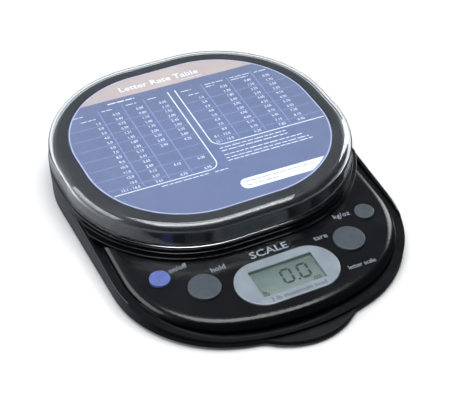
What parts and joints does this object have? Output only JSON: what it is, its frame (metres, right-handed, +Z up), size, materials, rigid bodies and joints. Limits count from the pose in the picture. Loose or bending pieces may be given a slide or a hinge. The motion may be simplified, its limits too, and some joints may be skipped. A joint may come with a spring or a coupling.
{
  "type": "letter scale",
  "caption": "Flat electronic letter scale with a clear lift-off tray over a rate card, a sloping panel with display and push buttons, and a sliding battery door.",
  "frame": {"origin": "on the table, under the middle of the footprint", "axes": "+Z up, +Y towards the back, +X to the user's right; the user faces the display along +Y"},
  "size_m": [0.141, 0.1836, 0.031],
  "materials": {
    "gloss_black": "high gloss moulded plastic",
    "satin_black": "fine satin moulded plastic",
    "clear_plastic": "clear polished plastic",
    "silver_blue": "metallic silver-blue paint on plastic",
    "grey_key": "satin moulded plastic",
    "blue_key": "satin moulded plastic",
    "white_plastic": "plain moulded plastic",
    "lcd": "grey-green liquid crystal panel",
    "card": "coated printed card",
    "rubber": "soft moulded rubber",
    "board": "glass-epoxy board with solder mask",
    "component": "moulded component bodies",
    "aluminium": "machined, clear anodised",
    "gauge_film": "polyimide film",
    "steel": "zinc plated",
    "battery_sleeve": "plain printed sleeve",
    "cable": "insulated flexible wire"
  },
  "bodies": {
    "housing": {"amplifier_chip": "component", "battery_cells": "battery_sleeve", "battery_leads": "cable", "board_screws": "steel", "cable_connector": "white_plastic", "capacitors": "component", "cell_cable": "cable", "cell_screws": "steel", "cell_spacer": "aluminium", "contact_plates": "steel", "contact_springs": "steel", "contact_strips": "rubber", "controller_chip": "component", "crystal": "steel", "display_bezel": "silver_blue", "display_lens": "clear_plastic", "housing_screws": "steel", "lcd_glass": "lcd", "lcd_holder": "white_plastic", "load_cell": "aluminium", "lower_housing": "satin_black", "main_board": "board", "overload_stop": "steel", "resistors": "component", "rubber_feet": "rubber", "strain_gauges": "gauge_film", "tact_switches": "component", "upper_housing": "gloss_black"},
    "platform": {"platform": "satin_black", "platform_screws": "steel", "rate_card": "card"},
    "tray": {"clear_tray": "clear_plastic"},
    "battery_door": {"battery_door": "satin_black"},
    "power_key": {"power_button": "blue_key", "power_plunger": "white_plastic"},
    "hold_key": {"hold_button": "grey_key", "hold_plunger": "white_plastic"},
    "tare_key": {"tare_button": "grey_key", "tare_plunger": "white_plastic"},
    "unit_key": {"unit_button": "grey_key", "unit_plunger": "white_plastic"}
  },
  "joints": [
    {"name": "weigh_travel", "type": "slide", "parent": "housing", "child": "platform", "axis": [0, 0, 1], "range_m": [-0.0004, 0], "stiffness_N_per_m": 33000},
    {"name": "tray_lift", "type": "slide", "parent": "platform", "child": "tray", "axis": [0, 0, 1], "range_m": [0, 0.03]},
    {"name": "battery_door_slide", "type": "slide", "parent": "housing", "child": "battery_door", "axis": [0, 1, 0], "range_m": [0, 0.026]},
    {"name": "power_press", "type": "slide", "parent": "housing", "child": "power_key", "axis": [0, 0.0541, -0.9985], "range_m": [0, 0.0005], "stiffness_N_per_m": 3000},
    {"name": "hold_press", "type": "slide", "parent": "housing", "child": "hold_key", "axis": [0, 0.0541, -0.9985], "range_m": [0, 0.0005], "stiffness_N_per_m": 3000},
    {"name": "tare_press", "type": "slide", "parent": "housing", "child": "tare_key", "axis": [0, 0.0541, -0.9985], "range_m": [0, 0.0005], "stiffness_N_per_m": 3000},
    {"name": "unit_press", "type": "slide", "parent": "housing", "child": "unit_key", "axis": [0, 0.0541, -0.9985], "range_m": [0, 0.0005], "stiffness_N_per_m": 3000}
  ]
}
